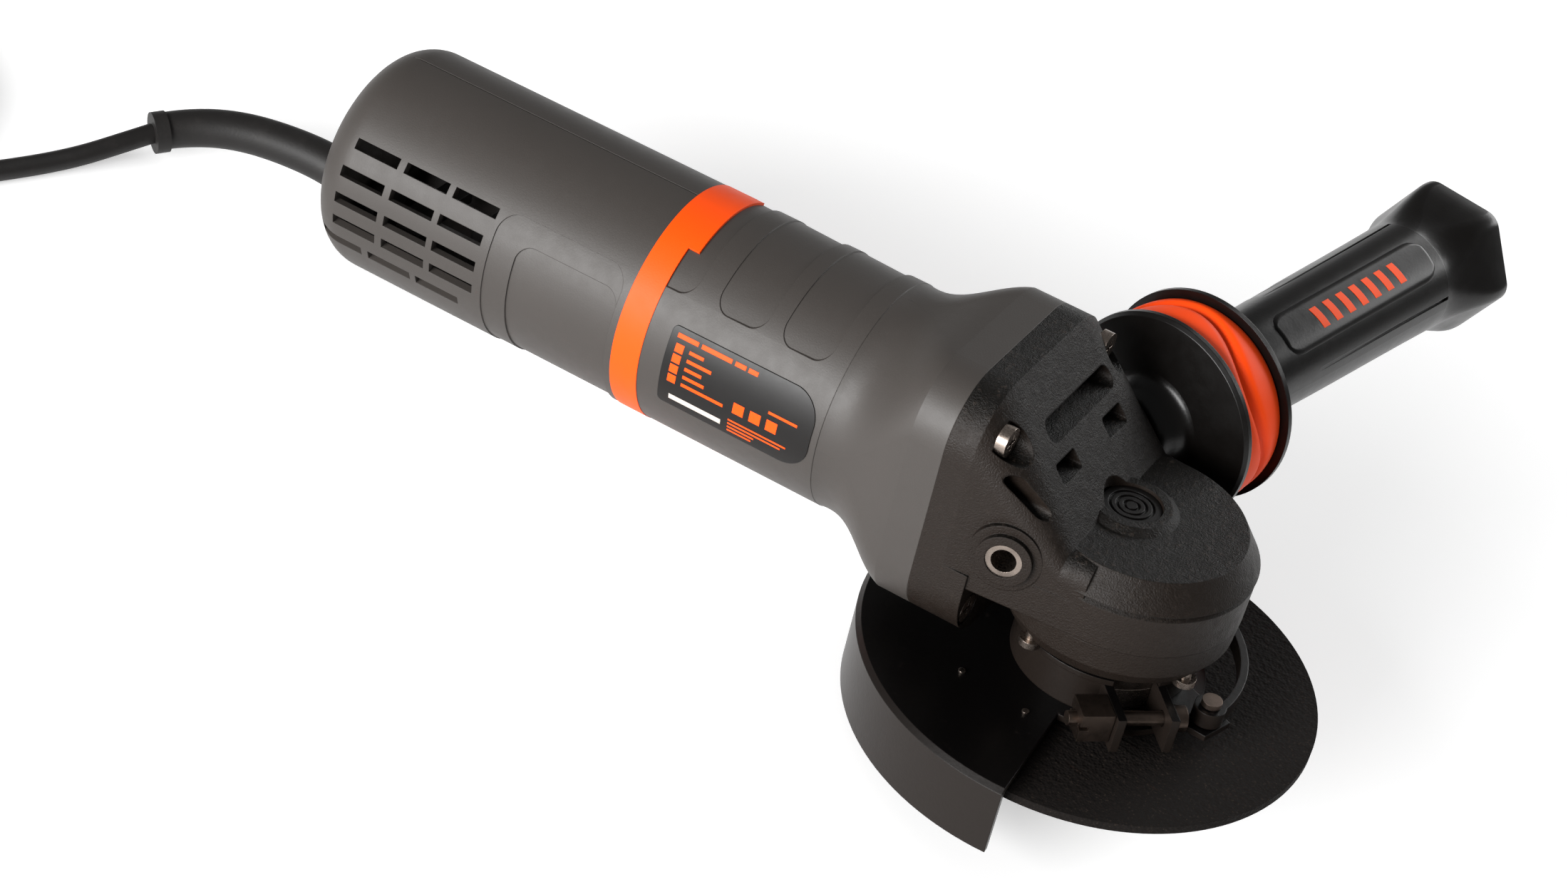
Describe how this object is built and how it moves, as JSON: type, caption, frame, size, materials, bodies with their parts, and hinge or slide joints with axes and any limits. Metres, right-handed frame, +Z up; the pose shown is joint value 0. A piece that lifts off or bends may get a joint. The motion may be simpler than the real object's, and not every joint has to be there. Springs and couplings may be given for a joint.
{
  "type": "angle grinder",
  "caption": "Corded hand-held angle grinder for 125 mm discs, with guard, clamp lever, canted side handle, spindle lock, slide switch and a put-away mains cord.",
  "frame": {"origin": "centre of the tool's footprint box on the ground, with the tool resting on its tail and on the rear of the guard rim", "axes": "+X forward from tail to gear head, level; +Y to the side handle (the tool's left); +Z up. The motor axis rises 10.86 degrees towards the head."},
  "size_m": [0.5567, 0.3529, 0.1084],
  "materials": {
    "housing_grey": "fine moulded texture, warm dark grey glass-filled nylon",
    "accent_orange": "satin moulded orange plastic",
    "soft_orange": "soft satin orange elastomer",
    "cast_black": "black paint over a grained aluminium die casting",
    "handle_black": "smooth black nylon, low gloss",
    "black_plastic": "black moulded plastic",
    "label_black": "printed film label, satin",
    "cord_rubber": "black rubber, slightly worn",
    "guard_black": "satin black stove-enamelled sheet steel",
    "disc_grit": "resin-bonded abrasive with glass-cloth weave",
    "bright_steel": "zinc-plated and machined steel",
    "dull_steel": "blackened machined steel",
    "lamination": "varnished electrical steel laminations",
    "copper": "enamelled copper wire",
    "carbon": "pressed carbon",
    "bronze": "sintered bronze"
  },
  "bodies": {
    "root": {"accent_ring": "accent_orange", "air_baffle": "black_plastic", "bearing_cover": "cast_black", "brush_holders": "black_plastic", "brush_springs": "bright_steel", "capacitor": "black_plastic", "carbon_brushes": "carbon", "cord_clamp": "black_plastic", "cord_coil": "cord_rubber", "cord_sleeve": "cord_rubber", "cover_screws": "bright_steel", "dust_seal": "cord_rubber", "field_coils": "copper", "front_bearing": "bright_steel", "gear_housing": "cast_black", "gear_housing_screws": "bright_steel", "handle_inserts": "bright_steel", "lock_spring": "bright_steel", "motor_end_frame": "black_plastic", "motor_housing": "housing_grey", "plug_body": "cord_rubber", "plug_pins": "bright_steel", "power_cord": "cord_rubber", "rating_label": "label_black", "rear_bearing": "bright_steel", "rear_bearing_sleeve": "cord_rubber", "rear_housing_left": "housing_grey", "rear_housing_right": "housing_grey", "spindle_bearing": "bright_steel", "stator_core": "lamination", "switch_unit": "black_plastic", "upper_bush": "bronze"},
    "guard": {"guard_shell": "guard_black", "guard_collar": "guard_black", "clamp_bolt": "dull_steel", "clamp_nut": "dull_steel", "lever_bracket": "guard_black", "lever_pin": "dull_steel", "guard_rivets": "bright_steel"},
    "clamp_lever": {"clamp_lever": "guard_black"},
    "armature": {"armature_shaft": "bright_steel", "armature_core": "lamination", "armature_windings": "copper", "commutator": "black_plastic", "cooling_fan": "black_plastic", "pinion": "bright_steel", "pinion_nut": "bright_steel"},
    "spindle": {"spindle": "bright_steel", "ring_gear": "bright_steel", "inner_flange": "bright_steel", "cutting_disc": "disc_grit", "disc_arbor_ring": "bright_steel", "flange_nut": "bright_steel"},
    "lock_button": {"lock_button": "black_plastic", "lock_pin": "bright_steel"},
    "switch_slider": {"switch_slider": "black_plastic"},
    "side_handle": {"handle_stud": "bright_steel", "handle_flange": "handle_black", "handle_damper": "soft_orange", "handle_grip": "handle_black"}
  },
  "joints": [
    {"name": "guard_turn", "type": "hinge", "parent": "root", "child": "guard", "pos_m": [0.08989, -0.06882, 0.07824], "axis": [-0.1884, 0, 0.9821], "range_deg": [-60, 75]},
    {"name": "lever_swing", "type": "hinge", "parent": "guard", "child": "clamp_lever", "pos_m": [0.13163, -0.0763, 0.04756], "axis": [0.1884, 0, -0.9821], "range_deg": [0, 80]},
    {"name": "armature_spin", "type": "hinge", "parent": "root", "child": "armature", "pos_m": [0.08989, -0.06882, 0.07824], "axis": [0.9821, 0, 0.1884], "continuous": true},
    {"name": "spindle_spin", "type": "hinge", "parent": "root", "child": "spindle", "pos_m": [0.08989, -0.06882, 0.07824], "axis": [-0.1884, 0, 0.9821], "continuous": true},
    {"name": "lock_press", "type": "slide", "parent": "root", "child": "lock_button", "axis": [0.1884, 0, -0.9821], "range_m": [0, 0.0024], "stiffness_N_per_m": 600, "springref_m": -0.002, "deforming": ["lock_spring"]},
    {"name": "switch_slide", "type": "slide", "parent": "root", "child": "switch_slider", "axis": [0.9821, 0, 0.1884], "range_m": [0, 0.007]},
    {"name": "handle_unscrew", "type": "slide", "parent": "root", "child": "side_handle", "axis": [0.2086, 0.9766, 0.0525], "range_m": [0, 0.03]}
  ],
  "couplings": [
    {"joint": "spindle_spin", "follows": "armature_spin", "ratio": -0.28947}
  ]
}
